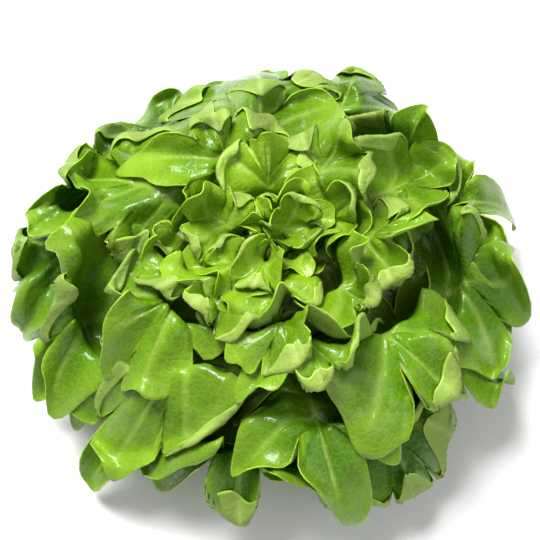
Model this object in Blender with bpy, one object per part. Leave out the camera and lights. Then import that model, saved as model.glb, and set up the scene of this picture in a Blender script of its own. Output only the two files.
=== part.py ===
"""Green oak leaf lettuce, one whole head: a cut stem and its lobed leaves.

Every leaf grows from the stem and lies on a shell of its own. A point of the
head has three coordinates: the azimuth round the stem, the run along a leaf
from its root, and the shell, which is 0 for the heart and 1 for the outermost
leaf. The shells nest without touching, so a leaf that stays outside the shell
positions of the leaves within it can't cross them.
"""

import math

import bpy
import numpy as np
from mathutils import Vector
from mathutils.bvhtree import BVHTree

# Driving dimensions, in metres.
SEED = 11
HEART_LENGTH = 0.064
OUTER_LENGTH = 0.138
STEM_HEIGHT = 0.048
CUT_RADIUS = 0.0150
CUT_HEIGHT = 0.011
BLADE_THICKNESS = 0.0008
RIB_DEPTH_HEART = 0.0001
RIB_DEPTH_OUTER = 0.0006
DEPTH_TO_WIDTH = 0.98

# The leaves that make the outline: azimuth in degrees, shell, length factor and
# how far the tip stands above its shell.
OUTER_LEAVES = (
    (206, 0.90, 0.90, 0.000),
    (301, 0.89, 1.00, 0.000),
    (172, 0.87, 1.00, 0.002),
    (262, 0.86, 0.94, 0.000),
    (332, 0.84, 0.98, 0.002),
    (118, 0.82, 1.08, 0.015),
    (232, 0.80, 0.95, 0.000),
    (16, 0.78, 0.98, 0.008),
    (70, 0.76, 1.08, 0.015),
    (150, 0.74, 1.14, 0.010),
    (283, 0.72, 1.00, 0.000),
    (352, 0.70, 1.06, 0.006),
    (43, 0.68, 0.97, 0.004),
    (97, 0.66, 1.12, 0.016),
    (196, 0.64, 1.06, 0.004),
    (318, 0.62, 1.02, 0.002),
)
INNER_COUNT = 23
INNER_START = math.radians(250)
GOLDEN_ANGLE = math.radians(137.508)

# Leaf lengths along the shells, as shares between the heart's and the outer one's.
LENGTH_SHELLS = (0.0, 0.12, 0.28, 0.45, 0.68, 0.9)
LENGTH_SHARES = (0.0, 0.12, 0.36, 0.62, 0.86, 1.0)

# The profile of the shells.
ROOT_RADIUS_HEART = 0.0045
ROOT_RADIUS_OUTER = 0.0165
RISE_HEART = math.radians(86)
RISE_OUTER = math.radians(36)
TURN_HEART = math.radians(24)
TURN_OUTER = math.radians(86)
PROFILE_STEPS = 14
FLOOR_EASE = 0.006

# Slow waves that take the head out of round: size, wave numbers, phase.
WARPS = (
    (0.0050, (15, 6, 9), 0.4),
    (0.0040, (-8, 17, 10), 1.9),
    (0.0030, (10, -12, 20), 3.1),
)
WARP_RADIUS = 0.12

# The outline of a leaf.
LOBES = 7
BLADE_START = math.radians(152)
STALK_PART = 0.15
RIB_END = 0.74
SINUS_POWER = 0.45
SINUS_DEPTHS = (0.28, 0.44)
BASE_TAPER = 0.45
TAPER_START = math.radians(60)
TAPER_RUN = math.radians(80)

# How far the lobes stand off their shell: each range is in shares of a lobe's size.
LEAN = 0.15
HEART_LEAN = -1.0
HEART_LEAN_SHELL = 0.22
TILTS = (0.5, 1.5)
TIP_TILTS = (-0.6, 1.5)
SPOONS = (-0.36, 0.24)
MOST_TWIST = 0.5
MOST_INWARD = 0.015

# The lattice on which the leaves are stacked.
COLUMNS = 110
ROWS = 38
ROW_STEP = 0.0046
SMALLEST_GAP = 0.0014
BLADE_REACH = 0.008
ROOT_REACH = 0.0025
FADE = 1.0
OUTER_LIMIT = 1.10
ROOM_BLURS = 3

# The facets of a leaf and how far apart two leaves are kept.
ACROSS_OUTER = (0.0, 0.40, 0.72, 1.0)
ACROSS_HEART = (0.0, 0.58, 1.0)
HEART_SHELL = 0.42
PER_LOBE = 4
STALK_CELLS = 4
CLEARANCE = 0.0004
CLEAR_ROUNDS = 150
CLEAR_STEP = 0.0005
SHELL_LIMIT = 1.35


def mix(a, b, t):
    return a + (b - a) * t


def ease(x):
    x = np.clip(x, 0, 1)
    return x * x * (3 - 2 * x)


def shell_length(q):
    share = np.interp(q, LENGTH_SHELLS, LENGTH_SHARES)
    return mix(HEART_LENGTH, OUTER_LENGTH, share)


def slope(q, s):
    """The angle over the horizontal at run s of shell q."""
    rise = mix(RISE_HEART, RISE_OUTER, np.sign(q) * np.abs(q) ** 1.15)
    turn = mix(TURN_HEART, TURN_OUTER, np.clip(q, -0.3, 1.5))
    run = mix(HEART_LENGTH, OUTER_LENGTH, np.clip(q, 0, 1.3))
    return rise - turn * (np.maximum(s, 0) / run) ** 2


def profile(q, s):
    """The radius and height at run s of shell q."""
    q, s = np.broadcast_arrays(np.asarray(q, float), np.asarray(s, float))
    r = mix(ROOT_RADIUS_HEART, ROOT_RADIUS_OUTER, q)
    z = mix(STEM_HEIGHT, CUT_HEIGHT, q)
    for k in range(PROFILE_STEPS):
        angle = slope(q, s * (k + 0.5) / PROFILE_STEPS)
        r = r + np.cos(angle) * s / PROFILE_STEPS
        z = z + np.sin(angle) * s / PROFILE_STEPS
    return r, z


def spacing(q, s):
    """The distance between shells at run s, for one unit of q."""
    e = 1e-3
    r0, z0 = profile(q - e, s)
    r1, z1 = profile(q + e, s)
    angle = slope(q, s)
    across = (r1 - r0) * np.sin(angle) - (z1 - z0) * np.cos(angle)
    return np.maximum(across / (2 * e), 0.010)


def place(theta, s, q):
    """The point in space at azimuth theta, run s and shell q."""
    r, z = profile(q, s)
    z = 0.5 * (z + np.sqrt(z * z + FLOOR_EASE**2))
    x = r * np.cos(theta)
    y = r * np.sin(theta) * DEPTH_TO_WIDTH
    far = ease(r / WARP_RADIUS)
    dx = dy = 0
    for k, (size, wave, phase) in enumerate(WARPS):
        shift = size * far * np.sin(wave[0] * x + wave[1] * y + wave[2] * z + phase)
        dx = dx + shift * math.cos(2.1 * k)
        dy = dy + shift * math.sin(2.1 * k)
    return np.stack([x + dx, y + dy, z], -1)


class Leaf:
    """One leaf: its place, its flattened outline and how it bends off its shell."""

    def __init__(self, number, azimuth, q, factor, rise, rng):
        self.name = f"leaf_{number:02d}"
        self.q = q
        self.rise = rise
        self.theta = azimuth % (2 * math.pi)
        self.length = float(shell_length(q)) * factor
        self.tip = self.length * rng.uniform(0.40, 0.46)
        self.centre = self.length - self.tip
        self.half_width = self.length * mix(0.38, 0.47, q) * rng.uniform(0.92, 1.08)
        self.lobe_at = np.arange(-LOBES / 2, LOBES / 2 + 0.1, 0.5)
        self.angle_at = self.lobe_at * BLADE_START / (LOBES / 2)
        self.angle_at[1:-1] += rng.uniform(-0.10, 0.10, 2 * LOBES - 1)
        self.reach = rng.uniform(0.86, 1.12, LOBES + 2)
        self.reach[[0, -1]] = 1.0
        self.reach[-2] = self.reach[1]
        self.depth = rng.uniform(*SINUS_DEPTHS, LOBES + 2)
        self.depth[LOBES] = self.depth[0]
        turn = rng.choice([-1.0, 1.0]) * (-1.0) ** np.arange(LOBES + 2)
        lean = mix(HEART_LEAN, LEAN, ease(q / HEART_LEAN_SHELL))
        self.tilts = lean + turn * rng.uniform(*TILTS, LOBES + 2)
        self.tilts[(LOBES + 1) // 2] = rng.uniform(*TIP_TILTS)
        self.spoons = rng.uniform(*SPOONS, LOBES + 2)
        self.twist = rng.uniform(-MOST_TWIST, MOST_TWIST)
        self.cup = mix(0.14, 0.04, q)
        self.lobe_size = self.length * 0.30
        self.gap = rng.uniform(0.0020, 0.0040)
        self.stalk = mix(0.0030, 0.0070, q)
        neck = self.outline(BLADE_START)
        self.neck_x = neck * math.sin(BLADE_START)
        self.neck_y = self.centre + neck * math.cos(BLADE_START)

    def lobe(self, angle):
        """The lobe that a direction from the blade's centre meets: k + 1 at the middle of lobe k."""
        return np.interp(angle, self.angle_at, self.lobe_at) + LOBES / 2 + 0.5

    def outline(self, angle):
        """The margin's distance from the blade's centre, with angle 0 at the tip."""
        taper = 1 - BASE_TAPER * ease((np.abs(angle) - TAPER_START) / TAPER_RUN)
        whole = taper * np.hypot(self.tip * np.cos(angle), self.half_width * np.sin(angle))
        n = self.lobe(angle)
        k = np.clip(np.floor(n).astype(int), 0, LOBES)
        reach = mix(self.reach[k], self.reach[k + 1], ease(n - k))
        bump = np.abs(np.cos(math.pi * n)) ** SINUS_POWER
        return whole * reach * (1 - self.depth[k] * (1 - bump))

    def bend(self, x, y):
        """How far the blade stands off its shell, outwards, at a flattened point."""
        along = y - self.centre
        angle = np.arctan2(x, along)
        share = np.clip(np.hypot(x, along) / self.outline(angle), 0, 1.15)
        n = self.lobe(angle)
        k = np.clip(np.floor(n).astype(int), 0, LOBES)
        tilt = mix(self.tilts[k], self.tilts[k + 1], ease((n - k - 0.5) * 1.3 + 0.5))
        spoon = self.spoons[k] * (0.5 - 0.5 * np.cos(2 * math.pi * n))
        grow = ease((y - 0.15 * self.length) / (0.5 * self.length))
        ruffle = self.lobe_size * share**2 * grow * (0.58 * tilt + 1.6 * spoon)
        curl = self.cup * x * x / self.half_width + self.rise * (y / self.length) ** 2
        off = ruffle - curl + self.twist * x * grow
        return np.where(off < 0, -MOST_INWARD * np.tanh(-off / MOST_INWARD), off)

    def stalk_half(self, y):
        return mix(self.stalk, self.neck_x, np.clip(y / self.neck_y, 0, 1) ** 3)

    def outside(self, x, y):
        """The distance from the flattened leaf, below zero on it."""
        along = y - self.centre
        blade = np.hypot(x, along) - self.outline(np.arctan2(x, along))
        beside = np.maximum(np.abs(x) - self.stalk_half(y), 0)
        return np.minimum(blade, np.hypot(beside, np.maximum(along, 0)))

    def azimuth(self, x, y):
        r, _ = profile(self.q, y)
        return self.theta + x / np.hypot(r, 0.010)

    def flat_point(self, u, v):
        """The flattened point at u from the midrib to the margin and v from -1 over the tip, 0, to 1."""
        side = np.where(v >= 0, 1.0, -1.0)
        t = 1 - np.abs(v)
        up_stalk = np.clip(t / STALK_PART, 0, 1)
        up_blade = np.clip((t - STALK_PART) / (1 - STALK_PART), 0, 1)
        angle = np.interp(side * (1 - up_blade) * LOBES / 2, self.lobe_at, self.angle_at)
        margin = self.outline(angle)
        on_stalk = t < STALK_PART
        stalk_y = self.neck_y * up_stalk
        edge_x = np.where(on_stalk, side * self.stalk_half(stalk_y), margin * np.sin(angle))
        edge_y = np.where(on_stalk, stalk_y, self.centre + margin * np.cos(angle))
        rib_y = mix(self.neck_y, self.length * RIB_END, up_blade**0.9)
        rib_y = np.where(on_stalk, stalk_y, rib_y)
        return edge_x * u, mix(rib_y, edge_y, u)


def plan_leaves():
    """All leaves, the outermost first."""
    rng = np.random.default_rng(SEED)
    rows = [(math.radians(row[0]), *row[1:]) for row in OUTER_LEAVES]
    for k in range(INNER_COUNT):
        q = mix(0.595, 0.0, (k / (INNER_COUNT - 1)) ** 0.95)
        azimuth = INNER_START + k * GOLDEN_ANGLE + rng.uniform(-0.35, 0.35)
        rows.append((azimuth, q, rng.uniform(0.92, 1.12), 0.0))
    return [Leaf(i + 1, *row, rng) for i, row in enumerate(rows)]


def stack(leaves):
    """Gives each leaf its shell field, from the heart outwards, each one outside those before it."""
    theta = (np.arange(COLUMNS) * 2 * math.pi / COLUMNS)[:, None]
    s = (np.arange(ROWS) * ROW_STEP)[None, :]
    covered = -0.02 - 0.25 * ease(s / 0.05) + 0 * theta
    grow = ease(s / 0.055)
    for leaf in reversed(leaves):
        turn = (theta - leaf.theta + math.pi) % (2 * math.pi) - math.pi
        x = turn * np.hypot(profile(leaf.q, s)[0], 0.010)
        y = s + 0 * turn
        unit = spacing(leaf.q, s)
        wanted = leaf.q + leaf.bend(x, y) / unit
        root_gap = SMALLEST_GAP + 0.0012 * leaf.q
        needed = covered + mix(root_gap, leaf.gap, grow) / unit
        soft = mix(0.0004, 0.0014, grow) / unit
        leaf.field = wanted + soft * np.logaddexp(0, (needed - wanted) / soft)
        beyond = leaf.outside(x, y) - mix(ROOT_REACH, BLADE_REACH, grow)
        covered = np.maximum(covered, leaf.field - FADE * np.maximum(beyond, 0) / unit)
    room = OUTER_LIMIT / np.maximum(covered, OUTER_LIMIT)
    for _ in range(ROOM_BLURS):
        room = blur(room)
    for leaf in leaves:
        leaf.field = leaf.field * np.where(leaf.field > 0, room, 1)


def blur(field):
    """The mean of each lattice point and its neighbours, round the head and along the leaves."""
    field = (np.roll(field, 1, 0) + 2 * field + np.roll(field, -1, 0)) / 4
    wide = np.pad(field, ((0, 0), (1, 1)), mode="edge")
    return (wide[:, :-2] + 2 * wide[:, 1:-1] + wide[:, 2:]) / 4


def spline_weights(f):
    return (
        (1 - f) ** 3 / 6,
        (3 * f**3 - 6 * f**2 + 4) / 6,
        (-3 * f**3 + 3 * f**2 + 3 * f + 1) / 6,
        f**3 / 6,
    )


def shell_at(field, theta, s):
    """The smooth value of a lattice field. All weights are positive, so it keeps the leaves' order."""
    column = (theta % (2 * math.pi)) * COLUMNS / (2 * math.pi)
    row = np.clip(s / ROW_STEP, 0, ROWS - 1.001)
    first_column = np.floor(column).astype(int)
    first_row = np.floor(row).astype(int)
    column_weights = spline_weights(column - first_column)
    row_weights = spline_weights(row - first_row)
    total = 0
    for i in range(4):
        for j in range(4):
            picked = field[(first_column + i - 1) % COLUMNS, np.clip(first_row + j - 1, 0, ROWS - 1)]
            total = total + column_weights[i] * row_weights[j] * picked
    return total


def run_marks():
    """The marks along the margin, from one side of the root over the tip to the other."""
    half = LOBES * PER_LOBE // 2
    stalk = STALK_PART * np.arange(STALK_CELLS) / STALK_CELLS
    blade = STALK_PART + (1 - STALK_PART) * np.arange(half + 1) / half
    t = np.concatenate([stalk, blade])
    return np.concatenate([t - 1, (1 - t)[::-1][1:]])


class Grid:
    """The facet corners of one leaf's middle surface."""

    def __init__(self, leaf):
        across = ACROSS_HEART if leaf.q < HEART_SHELL else ACROSS_OUTER
        u, v = np.meshgrid(across, run_marks(), indexing="ij")
        x, self.s = leaf.flat_point(u, v)
        self.leaf, self.u, self.v = leaf, u, v
        self.theta = leaf.azimuth(x, self.s)
        self.q = shell_at(leaf.field, self.theta, self.s)
        self.unit = spacing(np.clip(self.q, 0, 1.2), self.s)
        self.shape = u.shape
        self.index = self.number_corners()
        self.triangles = self.split_cells()

    def number_corners(self):
        """Corner numbers, with the two halves sharing the midrib."""
        rows, columns = self.shape
        index = np.arange(rows * columns).reshape(rows, columns)
        index[0] = np.minimum(index[0], index[0][::-1])
        return index

    def split_cells(self):
        found = []
        rows, columns = self.shape
        for i in range(rows - 1):
            for j in range(columns - 1):
                a, b = self.index[i, j], self.index[i + 1, j]
                c, d = self.index[i + 1, j + 1], self.index[i, j + 1]
                found += [(a, b, c), (a, c, d)]
        return np.array([t for t in found if len(set(t)) == 3])

    def rim(self):
        columns = self.shape[1]
        last = self.shape[0] - 1
        left = [self.index[i, 0] for i in range(last + 1)]
        margin = [self.index[last, j] for j in range(1, columns)]
        right = [self.index[i, columns - 1] for i in range(last - 1, 0, -1)]
        return left + margin + right

    def solid(self, margin):
        """Points and faces of the blade as a closed thin solid, with its rib standing out below."""
        middle = place(self.theta, self.s, self.q).reshape(-1, 3)
        up = corner_normals(middle, self.triangles)
        rib = mix(RIB_DEPTH_HEART, RIB_DEPTH_OUTER, self.leaf.q) * np.abs(self.v) ** 1.5
        rib = np.where(self.u == 0, rib, 0).reshape(-1, 1)
        half = (BLADE_THICKNESS + margin) / 2
        points = np.concatenate([middle + up * half, middle - up * (half + rib)])
        below = len(middle)
        rim = np.array(self.rim())
        after = np.roll(rim, -1)
        sides = np.stack([after, rim, rim + below], 1), np.stack([after, rim + below, after + below], 1)
        faces = np.concatenate([self.triangles, self.triangles[:, ::-1] + below, *sides])
        return points, faces


def clear_crossings(grids):
    """Pushes neighbouring leaves apart along the shells until none meets another."""
    solids = [grid.solid(CLEARANCE) for grid in grids]
    starts = np.cumsum([0] + [len(points) for points, _ in solids])
    owner = np.concatenate([np.full(len(faces), n) for n, (_, faces) in enumerate(solids)])
    faces = np.concatenate([faces + starts[n] for n, (_, faces) in enumerate(solids)])
    for _ in range(CLEAR_ROUNDS):
        points = np.concatenate([grid.solid(CLEARANCE)[0] for grid in grids])
        tree = BVHTree.FromPolygons([Vector(p) for p in points], faces.tolist())
        hits = np.array(tree.overlap(tree))
        hits = hits[owner[hits[:, 0]] < owner[hits[:, 1]]]
        if not len(hits):
            break
        push = np.zeros(len(points))
        np.add.at(push, faces[hits[:, 0]].ravel(), 0.5)
        np.add.at(push, faces[hits[:, 1]].ravel(), -0.3)
        push = CLEAR_STEP * np.clip(push, -0.9, 1.5)
        for n, grid in enumerate(grids):
            both = push[starts[n] : starts[n + 1]].reshape(2, *grid.shape)
            move = both[0] + both[1]
            move[0] = 0.5 * (move[0] + move[0][::-1])
            grid.q = np.minimum(grid.q + soften(move) / grid.unit, SHELL_LIMIT)
    return len(hits)


def soften(move):
    """Shares a push with the corners beside it."""
    wide = np.pad(move, 1, mode="edge")
    beside = wide[:-2, 1:-1] + wide[2:, 1:-1] + wide[1:-1, :-2] + wide[1:-1, 2:]
    return 0.7 * move + 0.12 * beside


def corner_normals(points, triangles):
    """Unit normals of the middle surface, towards the heart's side."""
    a, b, c = (points[triangles[:, k]] for k in range(3))
    normal = np.cross(b - a, c - a)
    total = np.zeros_like(points)
    for k in range(3):
        np.add.at(total, triangles[:, k], normal)
    length = np.linalg.norm(total, axis=1, keepdims=True)
    return total / np.maximum(length, 1e-12)


def leaf_object(grid):
    points, faces = grid.solid(0)
    return mesh_object(grid.leaf.name, points, faces)


def mesh_object(name, points, faces):
    used, numbers = np.unique(np.array(faces), return_inverse=True)
    faces = numbers.reshape(-1, 3)
    mesh = bpy.data.meshes.new(name)
    mesh.from_pydata([tuple(p) for p in np.asarray(points)[used]], [], faces.tolist())
    obj = bpy.data.objects.new(name, mesh)
    bpy.context.scene.collection.objects.link(obj)
    return obj


def stem_object():
    """The cut stem, turned: a flat cut below and a taper up to the heart."""
    slack = 0.0024
    rings = [
        (CUT_RADIUS - 0.0012, 0.0),
        (CUT_RADIUS, 0.0010),
        (CUT_RADIUS, 0.0045),
        (ROOT_RADIUS_OUTER - slack, CUT_HEIGHT),
        (mix(ROOT_RADIUS_OUTER, ROOT_RADIUS_HEART, 0.5) - slack, mix(CUT_HEIGHT, STEM_HEIGHT, 0.5)),
        (ROOT_RADIUS_HEART - slack, STEM_HEIGHT - 0.001),
    ]
    sides = 24
    points = [(0, 0, 0)]
    for radius, height in rings:
        for k in range(sides):
            angle = 2 * math.pi * k / sides
            y = radius * math.sin(angle) * DEPTH_TO_WIDTH
            points.append((radius * math.cos(angle), y, height))
    points.append((0, 0, STEM_HEIGHT))
    top = len(points) - 1
    last = 1 + sides * (len(rings) - 1)
    faces = []
    for k in range(sides):
        n = (k + 1) % sides
        faces.append((0, 1 + n, 1 + k))
        faces.append((top, last + k, last + n))
        for ring in range(len(rings) - 1):
            a, b = 1 + ring * sides + k, 1 + ring * sides + n
            faces += [(a, b, b + sides), (a, b + sides, a + sides)]
    return mesh_object("stem", points, faces)


def material(name, colour, roughness):
    made = bpy.data.materials.new(name)
    made.use_nodes = True
    shader = made.node_tree.nodes["Principled BSDF"]
    shader.inputs["Base Color"].default_value = (*colour, 1)
    shader.inputs["Roughness"].default_value = roughness
    shader.inputs["Metallic"].default_value = 0
    return made


def leaf_colour(q):
    heart, outer = np.array([0.36, 0.58, 0.05]), np.array([0.13, 0.34, 0.015])
    return tuple(float(c) for c in mix(heart, outer, q))


def main():
    for obj in list(bpy.data.objects):
        bpy.data.objects.remove(obj)
    leaves = plan_leaves()
    stack(leaves)
    grids = [Grid(leaf) for leaf in leaves]
    clear_crossings(grids)
    for grid in grids:
        made = leaf_object(grid)
        made.data.materials.append(material(grid.leaf.name, leaf_colour(grid.leaf.q), 0.4))
    stem_object().data.materials.append(material("stem", (0.62, 0.66, 0.36), 0.6))


main()
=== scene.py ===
"""Looks of the oak leaf lettuce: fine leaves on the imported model's own shells.

The leaves are worked out as in the model's source, from the same named values,
so each fine leaf lies on the shell of the solid that it replaces. Added here are
deeper sinuses, small second lobes, ruffled margins, blisters, veins, folded lobe
ends, colours and gloss. Lengths are in metres.
"""

import math

import bpy
import numpy as np
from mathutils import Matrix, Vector
from mathutils.bvhtree import BVHTree


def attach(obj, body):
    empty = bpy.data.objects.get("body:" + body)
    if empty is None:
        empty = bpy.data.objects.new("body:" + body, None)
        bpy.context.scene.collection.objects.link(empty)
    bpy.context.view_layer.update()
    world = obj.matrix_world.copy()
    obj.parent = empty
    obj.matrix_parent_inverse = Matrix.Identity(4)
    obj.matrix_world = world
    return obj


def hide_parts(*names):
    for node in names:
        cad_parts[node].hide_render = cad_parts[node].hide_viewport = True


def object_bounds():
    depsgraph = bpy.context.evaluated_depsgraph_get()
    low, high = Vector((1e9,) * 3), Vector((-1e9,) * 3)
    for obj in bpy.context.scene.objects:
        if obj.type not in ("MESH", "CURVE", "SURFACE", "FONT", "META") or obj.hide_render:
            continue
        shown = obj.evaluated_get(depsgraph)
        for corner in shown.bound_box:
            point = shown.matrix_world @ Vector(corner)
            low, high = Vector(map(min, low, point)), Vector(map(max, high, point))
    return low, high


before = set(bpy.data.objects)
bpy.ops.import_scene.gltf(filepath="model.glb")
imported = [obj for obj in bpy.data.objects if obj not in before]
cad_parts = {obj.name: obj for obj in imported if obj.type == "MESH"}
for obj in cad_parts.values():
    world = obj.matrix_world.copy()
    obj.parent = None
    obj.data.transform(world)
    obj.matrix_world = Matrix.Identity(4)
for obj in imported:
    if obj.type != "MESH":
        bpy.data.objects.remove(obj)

CAD_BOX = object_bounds()

# Driving dimensions.
SEED = 11
HEART_LENGTH = 0.064
OUTER_LENGTH = 0.138
STEM_HEIGHT = 0.048
CUT_HEIGHT = 0.011
BLADE_THICKNESS = 0.0008
RIB_DEPTH_HEART = 0.0001
RIB_DEPTH_OUTER = 0.0006
RIB_DEPTH_POWER = 1.5
DEPTH_TO_WIDTH = 0.98

# The leaves that make the outline: azimuth in degrees, shell, length factor and
# how far the tip stands above its shell.
OUTER_LEAVES = (
    (206, 0.90, 0.90, 0.000),
    (301, 0.89, 1.00, 0.000),
    (172, 0.87, 1.00, 0.002),
    (262, 0.86, 0.94, 0.000),
    (332, 0.84, 0.98, 0.002),
    (118, 0.82, 1.08, 0.015),
    (232, 0.80, 0.95, 0.000),
    (16, 0.78, 0.98, 0.008),
    (70, 0.76, 1.08, 0.015),
    (150, 0.74, 1.14, 0.010),
    (283, 0.72, 1.00, 0.000),
    (352, 0.70, 1.06, 0.006),
    (43, 0.68, 0.97, 0.004),
    (97, 0.66, 1.12, 0.016),
    (196, 0.64, 1.06, 0.004),
    (318, 0.62, 1.02, 0.002),
)

# The inner leaves, on the usual spiral from the outermost of them to the heart.
INNER_COUNT = 23
INNER_START = math.radians(250)
GOLDEN_ANGLE = math.radians(137.508)
INNER_SHELL = 0.595
INNER_POWER = 0.95
INNER_SHIFT = 0.35
INNER_FACTORS = (0.92, 1.12)

# Leaf lengths along the shells, as shares between the heart's and the outer one's.
LENGTH_SHELLS = (0.0, 0.12, 0.28, 0.45, 0.68, 0.9)
LENGTH_SHARES = (0.0, 0.12, 0.36, 0.62, 0.86, 1.0)

# The profile of the shells.
ROOT_RADIUS_HEART = 0.0045
ROOT_RADIUS_OUTER = 0.0165
RISE_HEART = math.radians(86)
RISE_OUTER = math.radians(36)
RISE_POWER = 1.15
TURN_HEART = math.radians(24)
TURN_OUTER = math.radians(86)
TURN_SHELLS = (-0.3, 1.5)
RUN_SHELLS = (0, 1.3)
PROFILE_STEPS = 14
FLOOR_EASE = 0.006
LEAST_SPACING = 0.010

# Slow waves that take the head out of round: size, wave numbers, phase.
WARPS = (
    (0.0050, (15, 6, 9), 0.4),
    (0.0040, (-8, 17, 10), 1.9),
    (0.0030, (10, -12, 20), 3.1),
)
WARP_RADIUS = 0.12
WARP_TURN = 2.1

# The outline of a leaf. Shares, widths and reaches are of its length or its plain
# outline; only the stalk's half widths are in metres.
LOBES = 7
LOBE_SHARE = 0.30
TIP_SHARES = (0.40, 0.46)
WIDTH_HEART = 0.38
WIDTH_OUTER = 0.47
WIDTH_FACTORS = (0.92, 1.08)
LOBE_SHIFT = 0.10
LOBE_REACHES = (0.86, 1.12)
STALK_HALF_HEART = 0.0030
STALK_HALF_OUTER = 0.0070
BLADE_START = math.radians(152)
STALK_PART = 0.15
RIB_END = 0.74
RIB_POWER = 0.9
STALK_POWER = 3
SINUS_POWER = 0.45
SINUS_DEPTHS = (0.28, 0.44)
BASE_TAPER = 0.45
TAPER_START = math.radians(60)
TAPER_RUN = math.radians(80)

# How the lobes stand off their shell. Leans, tilts and spoons are in shares of a lobe's
# size, and the start and run of the bending in shares of the leaf's length.
LEAN = 0.15
HEART_LEAN = -1.0
HEART_LEAN_SHELL = 0.22
TILTS = (0.5, 1.5)
TIP_TILTS = (-0.6, 1.5)
SPOONS = (-0.36, 0.24)
TILT_SIZE = 0.58
TILT_CHANGE = 1.3
SPOON_SIZE = 1.6
MOST_SHARE = 1.15
BEND_START = 0.15
BEND_RUN = 0.5
CUP_HEART = 0.14
CUP_OUTER = 0.04
MOST_TWIST = 0.5
MOST_INWARD = 0.015

# The lattice on which the leaves are stacked.
COLUMNS = 110
ROWS = 38
ROW_STEP = 0.0046
LEAST_RADIUS = 0.010
HEART_START = -0.02
HEART_HOLLOW = 0.25
HEART_RUN = 0.05
GROW_RUN = 0.055
SMALLEST_GAP = 0.0014
ROOT_GAP_RISE = 0.0012
BLADE_GAPS = (0.0020, 0.0040)
SOFT_ROOT = 0.0004
SOFT_BLADE = 0.0014
BLADE_REACH = 0.008
ROOT_REACH = 0.0025
FADE = 1.0
OUTER_LIMIT = 1.10
ROOM_BLURS = 3

# The facets of a leaf and how far apart two leaves are kept.
ACROSS_OUTER = (0.0, 0.40, 0.72, 1.0)
ACROSS_HEART = (0.0, 0.58, 1.0)
HEART_SHELL = 0.42
PER_LOBE = 4
STALK_CELLS = 4
CLEARANCE = 0.0004
CLEAR_ROUNDS = 150
CLEAR_STEP = 0.0005
PUSH_OUT = 0.5
PUSH_IN = 0.3
MOST_PUSHES = (-0.9, 1.5)
PUSH_KEPT = 0.7
PUSH_SHARED = 0.12
SHELL_LIMIT = 1.35
SPACING_LIMIT = 1.2

# The cells and the thickness of a fine leaf. Its cells are closer near the margin.
LOOKS_SEED = 5
FINE_ACROSS = 28
FINE_ACROSS_POWER = 0.85
FINE_PER_LOBE = 18
FINE_STALK = 12
FINE_HALF_THICKNESS = 0.00028
RIB_THICKENING = 2.5
BLADE_EASE = (0.10, 0.15)

# Ruffles and frills of the margin: how far it swings, and how often from lobe to lobe.
RUFFLE_HEART = 0.0070
RUFFLE_OUTER = 0.0150
RUFFLE_FACTORS = (0.7, 1.2)
RUFFLE_POWER = 1.8
RUFFLE_ON_FOLD = 0.3
FRILL = 0.0022
FRILL_RATE = 1.3
FRILL_POWER = 3

# Small second lobes and deeper sinuses, in shares of the lobe's reach.
SCALLOPS_HEART = 0.13
SCALLOPS_OUTER = 0.09
SCALLOP_RATES = (1.6, 2.6)
SCALLOP_FACTORS = (0.6, 1.3)
SCALLOP_EASE = 0.1
DEEPER_SINUS = 0.13
DEEPER_SINUS_POWER = 0.6

# Blisters and slow swells of the blade, both sums of a few waves.
BLISTER_HEART = 0.0010
BLISTER_OUTER = 0.0026
BLISTER_SIZE_HEART = 0.009
BLISTER_SIZE_OUTER = 0.014
BLISTER_WAVES = 7
SWELL = 0.0060
SWELL_SIZE = 0.030
SWELL_WAVES = 6
WAVE_SPREAD = (0.8, 1.5)

# Midrib, lobe veins and side veins. A fade is where it starts and how long it takes.
VEIN_DEPTH = 0.0014
RIB_LEAST_WIDTH = 0.0006
RIB_WIDTH = 0.0028
RIB_FADE = (0.75, 0.2)
LOBE_VEIN_WIDTH = 0.0016
LOBE_VEIN_NARROWING = 0.3
LOBE_VEIN_FADE = (0.55, 0.45)
LOBE_VEIN_SHARE = 0.8
SIDE_VEINS_PER_LOBE = 3
SIDE_VEIN_SLANT = 0.35
SIDE_VEIN_POWER = 8
SIDE_VEIN_EASE = 0.3
SIDE_VEIN_SHARE = 0.175

# Lobe ends folded over towards the heart: depths are in shares of a lobe's size.
FOLD_SHARE = 0.6
FOLD_ROOM = 0.0050
FOLD_DEPTHS = (0.18, 0.42)
FOLD_PLACE = 0.8
FOLD_RADIUS = 0.0013
FOLD_NARROWING = 1.2
FOLD_LIFT = 0.12

# How much of the room between two leaves, and of the model's box, a fine leaf uses.
OUTER_MARGIN = 0.15
LEAST_ROOM = 0.0006
ROOM_SHARE = 0.72
BOX_ROOM = 0.0006
BOX_EASE = 0.003

# Colour tones by leaf and by lobe, from 0, deep, to 1, light.
LEAF_TONES = (0.25, 0.75)
LOBE_TONE = 0.3

# The two faces of a leaf.
UPPER_FACE = {
    "heart": (0.25, 0.46, 0.006),
    "outer": (0.066, 0.215, 0.0008),
    "pale": (0.42, 0.58, 0.10),
    "rim": (0.34, 0.55, 0.03),
    "roughness": 0.25,
    "gloss": 0.24,
}
UNDER_FACE = {
    "heart": (0.34, 0.50, 0.07),
    "outer": (0.20, 0.35, 0.055),
    "pale": (0.48, 0.60, 0.20),
    "rim": (0.40, 0.56, 0.09),
    "roughness": 0.50,
    "gloss": 0.0,
}
STALK_COLOUR = (0.70, 0.76, 0.42)
STEM_COLOURS = (0.60, 0.62, 0.34), (0.78, 0.78, 0.56)
FINEST_VEINS = 260

# Floor and lights: each light's place, size and energy.
FLOOR_HALF = 3.0
FLOOR_COLOUR = (0.90, 0.90, 0.90, 1)
WORLD_STRENGTH = 0.34
KEY_LIGHT = (-0.30, 0.42, 1.10), 0.45, 22
FILL_LIGHT = (0.6, -0.5, 0.9), 0.8, 3

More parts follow.
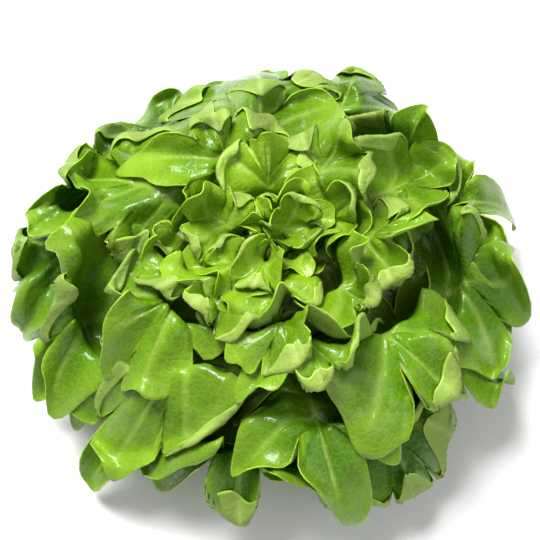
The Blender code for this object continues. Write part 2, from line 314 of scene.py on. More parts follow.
# Camera.
CAMERA_ELEVATION = math.radians(70)
CAMERA_AIM = (0.000, 0.006, 0.040)
CAMERA_DISTANCE = 0.504
CAMERA_LENS = 65
CAMERA_SENSOR = 36


def mix(a, b, t):
    return a + (b - a) * t


def ease(x):
    x = np.clip(x, 0, 1)
    return x * x * (3 - 2 * x)


def shell_length(q):
    share = np.interp(q, LENGTH_SHELLS, LENGTH_SHARES)
    return mix(HEART_LENGTH, OUTER_LENGTH, share)


def slope(q, s):
    """The angle over the horizontal at run s of shell q."""
    rise = mix(RISE_HEART, RISE_OUTER, np.sign(q) * np.abs(q) ** RISE_POWER)
    turn = mix(TURN_HEART, TURN_OUTER, np.clip(q, *TURN_SHELLS))
    run = mix(HEART_LENGTH, OUTER_LENGTH, np.clip(q, *RUN_SHELLS))
    return rise - turn * (np.maximum(s, 0) / run) ** 2


def profile(q, s):
    """The radius and height at run s of shell q."""
    q, s = np.broadcast_arrays(np.asarray(q, float), np.asarray(s, float))
    r = mix(ROOT_RADIUS_HEART, ROOT_RADIUS_OUTER, q)
    z = mix(STEM_HEIGHT, CUT_HEIGHT, q)
    for k in range(PROFILE_STEPS):
        angle = slope(q, s * (k + 0.5) / PROFILE_STEPS)
        r = r + np.cos(angle) * s / PROFILE_STEPS
        z = z + np.sin(angle) * s / PROFILE_STEPS
    return r, z


def spacing(q, s):
    """The distance between shells at run s, for one unit of q."""
    e = 1e-3
    r0, z0 = profile(q - e, s)
    r1, z1 = profile(q + e, s)
    angle = slope(q, s)
    across = (r1 - r0) * np.sin(angle) - (z1 - z0) * np.cos(angle)
    return np.maximum(across / (2 * e), LEAST_SPACING)


def place(theta, s, q):
    """The point in space at azimuth theta, run s and shell q."""
    r, z = profile(q, s)
    z = 0.5 * (z + np.sqrt(z * z + FLOOR_EASE**2))
    x = r * np.cos(theta)
    y = r * np.sin(theta) * DEPTH_TO_WIDTH
    far = ease(r / WARP_RADIUS)
    dx = dy = 0
    for k, (size, wave, phase) in enumerate(WARPS):
        shift = size * far * np.sin(wave[0] * x + wave[1] * y + wave[2] * z + phase)
        dx = dx + shift * math.cos(WARP_TURN * k)
        dy = dy + shift * math.sin(WARP_TURN * k)
    return np.stack([x + dx, y + dy, z], -1)


class Leaf:
    """One leaf: its place, its flattened outline and how it bends off its shell."""

    def __init__(self, number, azimuth, q, factor, rise, rng):
        self.name = f"leaf_{number:02d}"
        self.q = q
        self.rise = rise
        self.theta = azimuth % (2 * math.pi)
        self.length = float(shell_length(q)) * factor
        self.tip = self.length * rng.uniform(*TIP_SHARES)
        self.centre = self.length - self.tip
        width = self.length * mix(WIDTH_HEART, WIDTH_OUTER, q)
        self.half_width = width * rng.uniform(*WIDTH_FACTORS)
        self.lobe_at = np.arange(-LOBES / 2, LOBES / 2 + 0.1, 0.5)
        self.angle_at = self.lobe_at * BLADE_START / (LOBES / 2)
        self.angle_at[1:-1] += rng.uniform(-LOBE_SHIFT, LOBE_SHIFT, 2 * LOBES - 1)
        self.reach = rng.uniform(*LOBE_REACHES, LOBES + 2)
        self.reach[[0, -1]] = 1.0
        self.reach[-2] = self.reach[1]
        self.depth = rng.uniform(*SINUS_DEPTHS, LOBES + 2)
        self.depth[LOBES] = self.depth[0]
        turn = rng.choice([-1.0, 1.0]) * (-1.0) ** np.arange(LOBES + 2)
        lean = mix(HEART_LEAN, LEAN, ease(q / HEART_LEAN_SHELL))
        self.tilts = lean + turn * rng.uniform(*TILTS, LOBES + 2)
        self.tilts[(LOBES + 1) // 2] = rng.uniform(*TIP_TILTS)
        self.spoons = rng.uniform(*SPOONS, LOBES + 2)
        self.twist = rng.uniform(-MOST_TWIST, MOST_TWIST)
        self.cup = mix(CUP_HEART, CUP_OUTER, q)
        self.lobe_size = self.length * LOBE_SHARE
        self.gap = rng.uniform(*BLADE_GAPS)
        self.stalk = mix(STALK_HALF_HEART, STALK_HALF_OUTER, q)
        neck = self.outline(BLADE_START)
        self.neck_x = neck * math.sin(BLADE_START)
        self.neck_y = self.centre + neck * math.cos(BLADE_START)

    def lobe(self, angle):
        """Where a direction from the blade's centre lies: k + 1 at the middle of lobe k."""
        return np.interp(angle, self.angle_at, self.lobe_at) + LOBES / 2 + 0.5

    def outline(self, angle):
        """The margin's distance from the blade's centre, with angle 0 at the tip."""
        taper = 1 - BASE_TAPER * ease((np.abs(angle) - TAPER_START) / TAPER_RUN)
        whole = taper * np.hypot(self.tip * np.cos(angle), self.half_width * np.sin(angle))
        n = self.lobe(angle)
        k = np.clip(np.floor(n).astype(int), 0, LOBES)
        reach = mix(self.reach[k], self.reach[k + 1], ease(n - k))
        bump = np.abs(np.cos(math.pi * n)) ** SINUS_POWER
        return whole * reach * (1 - self.depth[k] * (1 - bump))

    def bend(self, x, y):
        """How far the blade stands off its shell, outwards, at a flattened point."""
        along = y - self.centre
        angle = np.arctan2(x, along)
        share = np.clip(np.hypot(x, along) / self.outline(angle), 0, MOST_SHARE)
        n = self.lobe(angle)
        k = np.clip(np.floor(n).astype(int), 0, LOBES)
        halfway = ease((n - k - 0.5) * TILT_CHANGE + 0.5)
        tilt = mix(self.tilts[k], self.tilts[k + 1], halfway)
        spoon = self.spoons[k] * (0.5 - 0.5 * np.cos(2 * math.pi * n))
        grow = ease((y - BEND_START * self.length) / (BEND_RUN * self.length))
        ruffle = self.lobe_size * share**2 * grow * (TILT_SIZE * tilt + SPOON_SIZE * spoon)
        curl = self.cup * x * x / self.half_width + self.rise * (y / self.length) ** 2
        off = ruffle - curl + self.twist * x * grow
        return np.where(off < 0, -MOST_INWARD * np.tanh(-off / MOST_INWARD), off)

    def stalk_half(self, y):
        return mix(self.stalk, self.neck_x, np.clip(y / self.neck_y, 0, 1) ** STALK_POWER)

    def outside(self, x, y):
        """The distance from the flattened leaf, below zero on it."""
        along = y - self.centre
        blade = np.hypot(x, along) - self.outline(np.arctan2(x, along))
        beside = np.maximum(np.abs(x) - self.stalk_half(y), 0)
        return np.minimum(blade, np.hypot(beside, np.maximum(along, 0)))

    def azimuth(self, x, y):
        r, _ = profile(self.q, y)
        return self.theta + x / np.hypot(r, LEAST_RADIUS)

    def flat_point(self, u, v):
        """The flattened point at u, from midrib to margin, and v, from -1 over the tip to 1."""
        side = np.where(v >= 0, 1.0, -1.0)
        t = 1 - np.abs(v)
        up_stalk = np.clip(t / STALK_PART, 0, 1)
        up_blade = np.clip((t - STALK_PART) / (1 - STALK_PART), 0, 1)
        angle = np.interp(side * (1 - up_blade) * LOBES / 2, self.lobe_at, self.angle_at)
        margin = self.outline(angle)
        on_stalk = t < STALK_PART
        stalk_y = self.neck_y * up_stalk
        edge_x = np.where(on_stalk, side * self.stalk_half(stalk_y), margin * np.sin(angle))
        edge_y = np.where(on_stalk, stalk_y, self.centre + margin * np.cos(angle))
        rib_y = mix(self.neck_y, self.length * RIB_END, up_blade**RIB_POWER)
        rib_y = np.where(on_stalk, stalk_y, rib_y)
        return edge_x * u, mix(rib_y, edge_y, u)


def plan_leaves():
    """All leaves, the outermost first."""
    rng = np.random.default_rng(SEED)
    rows = [(math.radians(row[0]), *row[1:]) for row in OUTER_LEAVES]
    for k in range(INNER_COUNT):
        q = mix(INNER_SHELL, 0.0, (k / (INNER_COUNT - 1)) ** INNER_POWER)
        shift = rng.uniform(-INNER_SHIFT, INNER_SHIFT)
        azimuth = INNER_START + k * GOLDEN_ANGLE + shift
        rows.append((azimuth, q, rng.uniform(*INNER_FACTORS), 0.0))
    return [Leaf(i + 1, *row, rng) for i, row in enumerate(rows)]


def lattice():
    """The azimuths and runs of the stacking lattice, and the innermost shell field on it."""
    theta = (np.arange(COLUMNS) * 2 * math.pi / COLUMNS)[:, None]
    s = (np.arange(ROWS) * ROW_STEP)[None, :]
    return theta, s, HEART_START - HEART_HOLLOW * ease(s / HEART_RUN) + 0 * theta


def flattened(leaf, theta, s):
    """The lattice as points of a leaf's flattened outline."""
    turn = (theta - leaf.theta + math.pi) % (2 * math.pi) - math.pi
    return turn * np.hypot(profile(leaf.q, s)[0], LEAST_RADIUS), s + 0 * turn


def stack(leaves):
    """Gives each leaf its shell field, from the heart out, each outside those before it."""
    theta, s, covered = lattice()
    grow = ease(s / GROW_RUN)
    for leaf in reversed(leaves):
        x, y = flattened(leaf, theta, s)
        unit = spacing(leaf.q, s)
        wanted = leaf.q + leaf.bend(x, y) / unit
        root_gap = SMALLEST_GAP + ROOT_GAP_RISE * leaf.q
        needed = covered + mix(root_gap, leaf.gap, grow) / unit
        soft = mix(SOFT_ROOT, SOFT_BLADE, grow) / unit
        leaf.field = wanted + soft * np.logaddexp(0, (needed - wanted) / soft)
        beyond = leaf.outside(x, y) - mix(ROOT_REACH, BLADE_REACH, grow)
        covered = np.maximum(covered, leaf.field - FADE * np.maximum(beyond, 0) / unit)
    room = OUTER_LIMIT / np.maximum(covered, OUTER_LIMIT)
    for _ in range(ROOM_BLURS):
        room = blur(room)
    for leaf in leaves:
        leaf.field = leaf.field * np.where(leaf.field > 0, room, 1)


def blur(field):
    """The mean of each lattice point and its neighbours, round the head and along the leaves."""
    field = (np.roll(field, 1, 0) + 2 * field + np.roll(field, -1, 0)) / 4
    wide = np.pad(field, ((0, 0), (1, 1)), mode="edge")
    return (wide[:, :-2] + 2 * wide[:, 1:-1] + wide[:, 2:]) / 4


def spline_weights(f):
    return (
        (1 - f) ** 3 / 6,
        (3 * f**3 - 6 * f**2 + 4) / 6,
        (-3 * f**3 + 3 * f**2 + 3 * f + 1) / 6,
        f**3 / 6,
    )


def shell_at(field, theta, s):
    """The smooth value of a lattice field. No weight is negative, so leaves keep their order."""
    column = (theta % (2 * math.pi)) * COLUMNS / (2 * math.pi)
    row = np.clip(s / ROW_STEP, 0, ROWS - 1.001)
    first_column = np.floor(column).astype(int)
    first_row = np.floor(row).astype(int)
    column_weights = spline_weights(column - first_column)
    row_weights = spline_weights(row - first_row)
    total = 0
    for i in range(4):
        at_column = (first_column + i - 1) % COLUMNS
        for j in range(4):
            picked = field[at_column, np.clip(first_row + j - 1, 0, ROWS - 1)]
            total = total + column_weights[i] * row_weights[j] * picked
    return total


def run_marks(per_lobe, stalk_cells):
    """The marks along the margin, from one side of the root over the tip to the other."""
    half = LOBES * per_lobe // 2
    stalk = STALK_PART * np.arange(stalk_cells) / stalk_cells
    blade = STALK_PART + (1 - STALK_PART) * np.arange(half + 1) / half
    t = np.concatenate([stalk, blade])
    return np.concatenate([t - 1, (1 - t)[::-1][1:]])


class Grid:
    """The facet corners of one leaf's middle surface."""

    def __init__(self, leaf):
        across = ACROSS_HEART if leaf.q < HEART_SHELL else ACROSS_OUTER
        u, v = np.meshgrid(across, run_marks(PER_LOBE, STALK_CELLS), indexing="ij")
        x, self.s = leaf.flat_point(u, v)
        self.leaf, self.u, self.v = leaf, u, v
        self.theta = leaf.azimuth(x, self.s)
        self.q = shell_at(leaf.field, self.theta, self.s)
        self.unit = spacing(np.clip(self.q, 0, SPACING_LIMIT), self.s)
        self.shape = u.shape
        self.index = self.number_corners()
        self.triangles = self.split_cells()

    def number_corners(self):
        """Corner numbers, with the two halves sharing the midrib."""
        rows, columns = self.shape
        index = np.arange(rows * columns).reshape(rows, columns)
        index[0] = np.minimum(index[0], index[0][::-1])
        return index

    def split_cells(self):
        """The cells as triangles, without those that the midrib's end makes flat."""
        found = []
        rows, columns = self.shape
        for i in range(rows - 1):
            for j in range(columns - 1):
                a, b = self.index[i, j], self.index[i + 1, j]
                c, d = self.index[i + 1, j + 1], self.index[i, j + 1]
                found += [(a, b, c), (a, c, d)]
        return np.array([t for t in found if len(set(t)) == 3])

    def rim(self):
        """The corners round the leaf, over the root, one margin and the other."""
        columns = self.shape[1]
        last = self.shape[0] - 1
        left = [self.index[i, 0] for i in range(last + 1)]
        margin = [self.index[last, j] for j in range(1, columns)]
        right = [self.index[i, columns - 1] for i in range(last - 1, 0, -1)]
        return left + margin + right

    def solid(self, margin):
        """Points and faces of the blade as a closed thin solid, with its rib below."""
        middle = place(self.theta, self.s, self.q).reshape(-1, 3)
        up = corner_normals(middle, self.triangles)
        rib = mix(RIB_DEPTH_HEART, RIB_DEPTH_OUTER, self.leaf.q)
        rib = rib * np.abs(self.v) ** RIB_DEPTH_POWER
        rib = np.where(self.u == 0, rib, 0).reshape(-1, 1)
        half = (BLADE_THICKNESS + margin) / 2
        points = np.concatenate([middle + up * half, middle - up * (half + rib)])
        below = len(middle)
        rim = np.array(self.rim())
        after = np.roll(rim, -1)
        upper_sides = np.stack([after, rim, rim + below], 1)
        lower_sides = np.stack([after, rim + below, after + below], 1)
        turned = self.triangles[:, ::-1] + below
        faces = np.concatenate([self.triangles, turned, upper_sides, lower_sides])
        return points, faces


def clear_crossings(grids):
    """Pushes neighbouring leaves apart along the shells until none meets another."""
    solids = [grid.solid(CLEARANCE) for grid in grids]
    starts = np.cumsum([0] + [len(points) for points, _ in solids])
    owner = np.concatenate([np.full(len(faces), n) for n, (_, faces) in enumerate(solids)])
    faces = np.concatenate([faces + starts[n] for n, (_, faces) in enumerate(solids)])
    for _ in range(CLEAR_ROUNDS):
        points = np.concatenate([grid.solid(CLEARANCE)[0] for grid in grids])
        tree = BVHTree.FromPolygons([Vector(p) for p in points], faces.tolist())
        hits = np.array(tree.overlap(tree))
        hits = hits[owner[hits[:, 0]] < owner[hits[:, 1]]]
        if not len(hits):
            break
        push = np.zeros(len(points))
        np.add.at(push, faces[hits[:, 0]].ravel(), PUSH_OUT)
        np.add.at(push, faces[hits[:, 1]].ravel(), -PUSH_IN)
        push = CLEAR_STEP * np.clip(push, *MOST_PUSHES)
        for n, grid in enumerate(grids):
            both = push[starts[n] : starts[n + 1]].reshape(2, *grid.shape)
            move = both[0] + both[1]
            move[0] = 0.5 * (move[0] + move[0][::-1])
            grid.q = np.minimum(grid.q + soften(move) / grid.unit, SHELL_LIMIT)


def soften(move):
    """Shares a push with the corners beside it."""
    wide = np.pad(move, 1, mode="edge")
    beside = wide[:-2, 1:-1] + wide[2:, 1:-1] + wide[1:-1, :-2] + wide[1:-1, 2:]
    return PUSH_KEPT * move + PUSH_SHARED * beside


def corner_normals(points, triangles):
    """Unit normals of the middle surface, towards the heart's side."""
    a, b, c = (points[triangles[:, k]] for k in range(3))
    normal = np.cross(b - a, c - a)
    total = np.zeros_like(points)
    for k in range(3):
        np.add.at(total, triangles[:, k], normal)
    length = np.linalg.norm(total, axis=1, keepdims=True)
    return total / np.maximum(length, 1e-12)


def noise_table(rng, count, size):
    """Directions, wave numbers and phases of a sum of waves with about this size in space."""
    direction = rng.normal(size=(count, 3))
    direction /= np.linalg.norm(direction, axis=1, keepdims=True)
    wave = 2 * math.pi / (size * rng.uniform(*WAVE_SPREAD, (count, 1)))
    return direction * wave, rng.uniform(0, 2 * math.pi, count)


def waves(table, x, y):
    """Smooth noise about 0 on the flattened leaf, seldom past 1 or -1."""
    total = 0
    for wave, phase in zip(*table):
        total = total + np.sin(wave[0] * x + wave[1] * y + phase)
    return total / math.sqrt(2 * len(table[1]))


def find_room(leaves):
    """Gives each leaf the room on either side of it, in metres, on the stacking lattice."""
    theta, s, inner = lattice()
    outer = OUTER_LIMIT + OUTER_MARGIN + 0 * inner
    beyond = {}
    for leaf in reversed(leaves):
        x, y = flattened(leaf, theta, s)
        unit = spacing(leaf.q, s)
        beyond[leaf.name] = FADE * np.maximum(leaf.outside(x, y), 0) / unit
        leaf.room_in = (leaf.field - inner) * unit
        inner = np.maximum(inner, leaf.field - beyond[leaf.name])
    for leaf in leaves:
        leaf.room_out = (outer - leaf.field) * spacing(leaf.q, s)
        outer = np.minimum(outer, leaf.field + beyond[leaf.name])


def within(off, room_out, room_in):
    """An offset kept to a share of the room on its side."""
    out = np.maximum(ROOM_SHARE * room_out - LEAST_ROOM, LEAST_ROOM)
    back = np.maximum(ROOM_SHARE * room_in - LEAST_ROOM, LEAST_ROOM)
    return np.where(off > 0, out * np.tanh(off / out), -back * np.tanh(-off / back))


def between_marks(values, us, vs, u, v):
    """A coarse grid's values at fine marks, eased from mark to mark."""
    i = np.clip(np.searchsorted(us, u, side="right") - 1, 0, len(us) - 2)
    j = np.clip(np.searchsorted(vs, v, side="right") - 1, 0, len(vs) - 2)
    f = ease((u - us[i]) / (us[i + 1] - us[i]))
    g = ease((v - vs[j]) / (vs[j + 1] - vs[j]))
    low = mix(values[i, j], values[i + 1, j], f)
    high = mix(values[i, j + 1], values[i + 1, j + 1], f)
    return mix(low, high, g)


def into_box(points):
    """Points past the model's box drawn back inside it, with the last few millimetres eased."""
    low, high = np.array(CAD_BOX[0]) + BOX_ROOM, np.array(CAD_BOX[1]) - BOX_ROOM
    over, under = points - (high - BOX_EASE), (low + BOX_EASE) - points
    points = np.where(over > 0, high - BOX_EASE + BOX_EASE * np.tanh(over / BOX_EASE), points)
    return np.where(under > 0, low + BOX_EASE - BOX_EASE * np.tanh(under / BOX_EASE), points)


def eased(x, start, run):
    """From 0 to 1 over a run that begins at start."""
    return ease((x - start) / run)


class FineLeaf:
    """One leaf's fine surface, its vein pattern and its folded lobes."""

    def __init__(self, grid, rng):
        self.grid, self.leaf = grid, grid.leaf
        q = self.leaf.q
        self.pushed = grid.q - shell_at(grid.leaf.field, grid.theta, grid.s)
        blister_size = mix(BLISTER_SIZE_HEART, BLISTER_SIZE_OUTER, q)
        self.blisters = noise_table(rng, BLISTER_WAVES, blister_size)
        self.swells = noise_table(rng, SWELL_WAVES, SWELL_SIZE)
        # The third phase isn't used, but it is drawn to keep the order of the draws.
        self.frill_phase = rng.uniform(0, 2 * math.pi, 3)
        self.scallops = rng.uniform(*SCALLOP_RATES)
        self.scallop_phase = rng.uniform(0, math.pi)
        scallop = mix(SCALLOPS_HEART, SCALLOPS_OUTER, q)
        self.scallop_depth = scallop * rng.uniform(*SCALLOP_FACTORS)
        self.ruffle = mix(RUFFLE_HEART, RUFFLE_OUTER, q) * rng.uniform(*RUFFLE_FACTORS)
        self.ruffle_phase = rng.uniform(0, 2 * math.pi)
        folded = rng.uniform(size=LOBES + 2) < FOLD_SHARE
        depth = np.where(folded, rng.uniform(*FOLD_DEPTHS, LOBES + 2), 0)
        depth = depth * self.leaf.lobe_size
        self.fold_depth = np.where(self.room_at_lobes() > FOLD_ROOM, depth, 0)
        self.leaf_tone = rng.uniform(*LEAF_TONES)
        self.lobe_tones = rng.uniform(-LOBE_TONE, LOBE_TONE, LOBES + 2)
        across = np.linspace(0, 1, FINE_ACROSS + 1) ** FINE_ACROSS_POWER
        along = run_marks(FINE_PER_LOBE, FINE_STALK)
        self.u, self.v = np.meshgrid(across, along, indexing="ij")
        self.surface()

    def lobe_number(self):
        """The lobe of each mark: k + 1 at the middle of lobe k."""
        side = np.where(self.v >= 0, 1.0, -1.0)
        up_blade = np.clip((1 - np.abs(self.v) - STALK_PART) / (1 - STALK_PART), 0, 1)
        return side * (1 - up_blade) * LOBES / 2 + LOBES / 2 + 0.5

    def room_at_lobes(self):
        """The room towards the heart at the ends of the lobes."""
        leaf = self.leaf
        ends = np.clip(np.arange(LOBES + 2) - LOBES / 2 - 0.5, -LOBES / 2, LOBES / 2)
        angle = np.interp(ends, leaf.lobe_at, leaf.angle_at)
        reach = FOLD_PLACE * leaf.outline(angle)
        x, y = reach * np.sin(angle), leaf.centre + reach * np.cos(angle)
        return shell_at(leaf.room_in, leaf.azimuth(x, y), y)

    def scalloped(self, n):
        """The margin's reach as a share of the plain outline's."""
        swing = np.sin(self.scallops * math.pi * n + self.scallop_phase)
        notch = self.scallop_depth * swing**2
        sinus = 1 - np.abs(np.cos(math.pi * n)) ** DEEPER_SINUS_POWER
        notch = notch + DEEPER_SINUS * sinus
        return 1 - notch * ease((1 - np.abs(self.v) - STALK_PART) / SCALLOP_EASE)

    def folding(self, n, reach):
        """Where each mark goes across the blade once its lobe's end is folded, and its height."""
        k = np.clip(np.round(n).astype(int), 0, LOBES + 1)
        beside = np.clip(np.cos(math.pi * (n - k)), 0, 1)
        depth = self.fold_depth[k] * beside**FOLD_NARROWING
        past = self.u * reach - (reach - depth)
        turn = np.clip(past / FOLD_RADIUS, 0, math.pi)
        back = np.maximum(past - math.pi * FOLD_RADIUS, 0)
        folded = reach - depth + FOLD_RADIUS * np.sin(turn) - back
        across = np.where(past > 0, folded, self.u * reach)
        lifted = FOLD_RADIUS * (1 - np.cos(turn)) + FOLD_LIFT * back
        return across / reach, np.where(past > 0, lifted, 0)

    def veins(self, n, u, x, y):
        """The midrib, and all veins together, from 0 to 1."""
        leaf, v = self.leaf, self.v
        width = LOBE_VEIN_WIDTH / leaf.lobe_size / (LOBE_VEIN_NARROWING + u)
        lobe_vein = np.exp(-(((n - np.round(n)) / width) ** 2))
        lobe_vein = lobe_vein * (1 - eased(u, *LOBE_VEIN_FADE))
        half_rib = RIB_LEAST_WIDTH + RIB_WIDTH * mix(0.5, 1, leaf.q) * np.abs(v) ** 2
        rib = np.exp(-((x / half_rib) ** 2)) * (1 - eased(y / leaf.length, *RIB_FADE))
        slanted = np.abs(np.sin(SIDE_VEINS_PER_LOBE * math.pi * (n + SIDE_VEIN_SLANT * u)))
        side_veins = slanted**SIDE_VEIN_POWER * ease(u / SIDE_VEIN_EASE)
        every = rib + LOBE_VEIN_SHARE * lobe_vein + SIDE_VEIN_SHARE * side_veins
        return rib, np.clip(every, 0, 1)

    def relief(self, n, x, y, height):
        """How far each mark stands off its shell, before the room is looked at."""
        on_blade = eased(1 - np.abs(self.v), *BLADE_EASE)
        blister = mix(BLISTER_HEART, BLISTER_OUTER, self.leaf.q) * waves(self.blisters, x, y)
        off = blister * on_blade * (1 - self.vein) + VEIN_DEPTH * self.vein
        off = off + SWELL * on_blade * waves(self.swells, x, y)
        wave = np.sin(2 * math.pi * FRILL_RATE * n + self.frill_phase[0])
        wave = wave + 0.5 * np.sin(4 * math.pi * FRILL_RATE * n + self.frill_phase[1])
        ruffle = self.ruffle * np.sin(self.scallops * math.pi * n + self.ruffle_phase)
        ruffle = ruffle * self.u**RUFFLE_POWER + FRILL * wave * self.u**FRILL_POWER
        return off + on_blade * ruffle * np.where(height > 0, RUFFLE_ON_FOLD, 1)

    def surface(self):
        """Works out the points of the middle surface, and the fields that the colours use."""
        leaf, v = self.leaf, self.v
        n = self.lobe_number()
        x1, y1 = leaf.flat_point(np.ones_like(v), v)
        x0, y0 = leaf.flat_point(np.zeros_like(v), v)
        reach = np.hypot(x1 - x0, y1 - y0)
        u, height = self.folding(n, reach)
        u = u * mix(1, self.scalloped(n), self.u**3)
        x, y = leaf.flat_point(u, v)
        theta = leaf.azimuth(x, y)
        us, vs = self.grid.u[:, 0], self.grid.v[0]
        q = shell_at(leaf.field, theta, y) + between_marks(self.pushed, us, vs, u, v)
        unit = spacing(np.clip(q, 0, SPACING_LIMIT), y)
        self.rib, self.vein = self.veins(n, u, x, y)
        off = self.relief(n, x, y, height)
        room_out = shell_at(leaf.room_out, theta, y)
        room_in = shell_at(leaf.room_in, theta, y)
        q = q + (within(off, room_out, room_in) - height) / unit
        self.points = into_box(place(theta, y, q))
        k = np.clip(np.floor(n).astype(int), 0, LOBES)
        lobe_tone = mix(self.lobe_tones[k], self.lobe_tones[k + 1], ease(n - k))
        self.tone = self.leaf_tone + lobe_tone * ease(self.u)


def fine_mesh(fine):
    """Points, faces and material numbers of a fine leaf as one closed mesh."""
    rows, columns = fine.v.shape
    index = np.arange(rows * columns).reshape(rows, columns)
    index[0] = np.minimum(index[0], index[0][::-1])
    points = fine.points.reshape(-1, 3)
    corners = index[:-1, :-1], index[1:, :-1], index[1:, 1:], index[:-1, 1:]
    cells = np.stack(corners, -1).reshape(-1, 4)
    triangles = np.concatenate([cells[:, [0, 1, 2]], cells[:, [0, 2, 3]]])
    up = corner_normals(points, triangles)
    rib = (fine.rib * np.abs(fine.v)).reshape(-1, 1)
    thin = FINE_HALF_THICKNESS * (1 + RIB_THICKENING * rib)
    count = len(points)
    rim = np.concatenate([index[:-1, 0], index[-1, :-1], index[::-1, -1][:-1]])
    after = np.roll(rim, -1)
    sides = np.stack([after, rim, rim + count, after + count], 1)
    faces = np.concatenate([cells, cells[:, ::-1] + count, sides])
    both = np.concatenate([points + up * thin, points - up * thin])
    slots = np.repeat([0, 1, 0], [len(cells), len(cells), len(sides)])
    return both, faces, slots


def add_attribute(mesh, name, values):
    layer = mesh.attributes.new(name, "FLOAT", "POINT")
    layer.data.foreach_set("value", np.asarray(values, np.float32))


def make_leaf(fine, upper, under):
    """Makes the piece that stands for a leaf's solid, with the fields that its colours read."""
    points, faces, slots = fine_mesh(fine)
    used, numbers = np.unique(faces, return_inverse=True)
    mesh = bpy.data.meshes.new(fine.leaf.name + "_fine")
    mesh.from_pydata(points[used].tolist(), [], numbers.reshape(faces.shape).tolist())
    mesh.materials.append(upper)
    mesh.materials.append(under)
    mesh.polygons.foreach_set("material_index", slots.astype(np.int32))
    mesh.polygons.foreach_set("use_smooth", np.ones(len(slots), bool))
    fields = {"vein": fine.vein, "margin": fine.u, "stalk": np.abs(fine.v), "tone": fine.tone}
    for name, values in fields.items():
        add_attribute(mesh, name, np.tile(values.ravel(), 2)[used])
    add_attribute(mesh, "shell", np.full(len(used), fine.leaf.q))
    piece = bpy.data.objects.new(fine.leaf.name + "_fine", mesh)
    bpy.context.scene.collection.objects.link(piece)
    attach(piece, "root")
    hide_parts(fine.leaf.name)


class Nodes:
    """A material's node tree, with short ways to add nodes."""

    def __init__(self, name):
        self.material = bpy.data.materials.new(name)
        self.material.use_nodes = True
        self.tree = self.material.node_tree
        self.shader = self.tree.nodes["Principled BSDF"]

    def link(self, value, socket):
        if isinstance(value, bpy.types.NodeSocket):
            self.tree.links.new(value, socket)
        else:
            socket.default_value = value

    def attribute(self, name):
        node = self.tree.nodes.new("ShaderNodeAttribute")
        node.attribute_name = name
        return node.outputs["Fac"]

    def place(self):
        return self.tree.nodes.new("ShaderNodeTexCoord").outputs["Object"]

    def noise(self, scale, detail=3, roughness=0.55):
        node = self.tree.nodes.new("ShaderNodeTexNoise")
        self.link(self.place(), node.inputs["Vector"])
        node.inputs["Scale"].default_value = scale
        node.inputs["Detail"].default_value = detail
        node.inputs["Roughness"].default_value = roughness
        return node.outputs["Fac"]

    def cells(self, scale):
        """Distance to the edges of irregular cells, for the finest veins."""
        node = self.tree.nodes.new("ShaderNodeTexVoronoi")
        node.feature = "DISTANCE_TO_EDGE"
        self.link(self.place(), node.inputs["Vector"])
        node.inputs["Scale"].default_value = scale
        return node.outputs["Distance"]

    def ramp(self, value, low, high, to_low=0.0, to_high=1.0):
        node = self.tree.nodes.new("ShaderNodeMapRange")
        self.link(value, node.inputs["Value"])
        node.inputs["From Min"].default_value = low
        node.inputs["From Max"].default_value = high
        node.inputs["To Min"].default_value = to_low
        node.inputs["To Max"].default_value = to_high
        return node.outputs["Result"]

    def blend(self, factor, a, b):
        node = self.tree.nodes.new("ShaderNodeMix")
        node.data_type = "RGBA"
        self.link(factor, node.inputs[0])
        for value, socket in ((a, node.inputs[6]), (b, node.inputs[7])):
            linked = isinstance(value, bpy.types.NodeSocket)
            self.link(value if linked else (*value, 1), socket)
        return node.outputs[2]

    def maths(self, operation, a, b):
        node = self.tree.nodes.new("ShaderNodeMath")
        node.operation = operation
        self.link(a, node.inputs[0])
        self.link(b, node.inputs[1])
        return node.outputs[0]

    def bump(self, height, strength, distance):
        node = self.tree.nodes.new("ShaderNodeBump")
        self.link(height, node.inputs["Height"])
        node.inputs["Strength"].default_value = strength
        node.inputs["Distance"].default_value = distance
        self.link(node.outputs["Normal"], self.shader.inputs["Normal"])


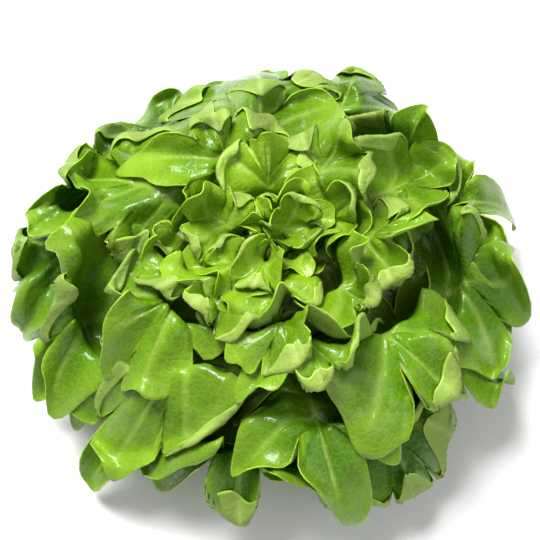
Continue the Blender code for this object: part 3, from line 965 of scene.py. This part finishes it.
def leaf_material(name, heart, outer, pale, rim, roughness, gloss):
    """A leaf face: colour by shell, blotches, fine veins, pale main veins and a light rim."""
    m = Nodes(name)
    shell = m.ramp(m.attribute("shell"), 0.05, 0.85)
    base = m.blend(shell, heart, outer)
    # Deep and light leaves and lobes.
    light = m.blend(0.5, base, rim)
    deep = m.blend(0.5, base, tuple(0.45 * c for c in outer))
    base = m.blend(m.ramp(m.attribute("tone"), 0.0, 0.5), deep, base)
    base = m.blend(m.ramp(m.attribute("tone"), 0.5, 1.0), base, light)
    # Soft blotches, two or three centimetres across.
    blotch = m.ramp(m.noise(38, 4), 0.35, 0.68)
    darker = m.blend(0.62, base, tuple(0.35 * c for c in outer))
    base = m.blend(blotch, darker, base)
    # Lighter towards the margin.
    toward = m.ramp(m.attribute("margin"), 0.45, 1.0, 0.0, 0.40)
    base = m.blend(toward, base, rim)
    # The finest veins, the modelled veins and the stalk.
    fine = m.ramp(m.cells(FINEST_VEINS), 0.0, 0.10, 0.12, 0.0)
    base = m.blend(fine, base, pale)
    base = m.blend(m.ramp(m.attribute("vein"), 0.12, 1.0, 0.0, 0.42), base, pale)
    stalk = m.ramp(m.attribute("stalk"), 0.70, 1.0, 0.0, 0.9)
    base = m.blend(stalk, base, STALK_COLOUR)
    # A thin light rim, broken by noise.
    edge = m.ramp(m.attribute("margin"), 0.975, 0.998)
    edge = m.maths("MULTIPLY", edge, m.ramp(m.noise(60, 2), 0.38, 0.62, 0.1, 0.75))
    base = m.blend(edge, base, tuple(min(1, 1.35 * c) for c in rim))
    m.link(base, m.shader.inputs["Base Color"])
    # Wet and drier patches.
    wet = m.ramp(m.noise(70, 2), 0.42, 0.62, roughness, roughness + 0.16)
    m.link(wet, m.shader.inputs["Roughness"])
    m.shader.inputs["IOR"].default_value = 1.38
    m.shader.inputs["Specular IOR Level"].default_value = 0.38
    m.shader.inputs["Coat Weight"].default_value = gloss
    m.shader.inputs["Coat Roughness"].default_value = 0.12
    m.shader.inputs["Subsurface Weight"].default_value = 0.12
    m.shader.inputs["Subsurface Radius"].default_value = (0.5, 1.0, 0.12)
    m.shader.inputs["Subsurface Scale"].default_value = 0.0025
    # Crinkles, with the finest veins standing out.
    crinkle = m.maths("MULTIPLY", m.noise(120, 4), 1.4)
    height = m.maths("ADD", crinkle, m.ramp(m.cells(FINEST_VEINS), 0.0, 0.20, 0.0, 0.14))
    m.bump(height, 0.45, 0.0018)
    return m.material


def stem_material():
    """The cut butt: pale, mottled and slightly rough."""
    m = Nodes("stem_cut")
    base = m.blend(m.ramp(m.noise(90, 4), 0.4, 0.65), *STEM_COLOURS)
    m.link(base, m.shader.inputs["Base Color"])
    m.shader.inputs["Roughness"].default_value = 0.5
    m.bump(m.noise(400, 3), 0.3, 0.0008)
    return m.material


def make_floor():
    mesh = bpy.data.meshes.new("floor")
    half = FLOOR_HALF
    corners = [(-half, -half, 0), (half, -half, 0), (half, half, 0), (-half, half, 0)]
    mesh.from_pydata(corners, [], [(0, 1, 2, 3)])
    floor = bpy.data.objects.new("floor", mesh)
    bpy.context.scene.collection.objects.link(floor)
    m = Nodes("floor_white")
    m.shader.inputs["Base Color"].default_value = FLOOR_COLOUR
    m.shader.inputs["Roughness"].default_value = 0.6
    mesh.materials.append(m.material)


def make_light(name, place_at, size, energy):
    """An area light that points at the foot of the head."""
    data = bpy.data.lights.new(name, "AREA")
    data.size, data.energy = size, energy
    light = bpy.data.objects.new(name, data)
    light.location = place_at
    light.rotation_euler = (-Vector(place_at)).to_track_quat("-Z", "Y").to_euler()
    bpy.context.scene.collection.objects.link(light)


def make_lights():
    world = bpy.data.worlds.new("studio")
    bpy.context.scene.world = world
    world.use_nodes = True
    background = world.node_tree.nodes["Background"]
    background.inputs["Color"].default_value = (1, 1, 1, 1)
    background.inputs["Strength"].default_value = WORLD_STRENGTH
    make_light("key", *KEY_LIGHT)
    make_light("fill", *FILL_LIGHT)


def make_camera():
    data = bpy.data.cameras.new("camera")
    data.lens, data.sensor_width = CAMERA_LENS, CAMERA_SENSOR
    camera = bpy.data.objects.new("camera", data)
    aim = Vector(CAMERA_AIM)
    out = Vector((0, -math.cos(CAMERA_ELEVATION), math.sin(CAMERA_ELEVATION)))
    camera.location = aim + CAMERA_DISTANCE * out
    camera.rotation_euler = (-out).to_track_quat("-Z", "Y").to_euler()
    bpy.context.scene.collection.objects.link(camera)
    bpy.context.scene.camera = camera


def make_leaves():
    leaves = plan_leaves()
    stack(leaves)
    find_room(leaves)
    grids = [Grid(leaf) for leaf in leaves]
    clear_crossings(grids)
    rng = np.random.default_rng(LOOKS_SEED)
    upper = leaf_material("leaf_upper", **UPPER_FACE)
    under = leaf_material("leaf_under", **UNDER_FACE)
    for grid in grids:
        make_leaf(FineLeaf(grid, rng), upper, under)


make_leaves()
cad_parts["stem"].data.materials.clear()
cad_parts["stem"].data.materials.append(stem_material())
make_floor()
make_lights()
make_camera()
bpy.context.scene.view_settings.view_transform = "Standard"
bpy.context.scene.cycles.use_denoising = True
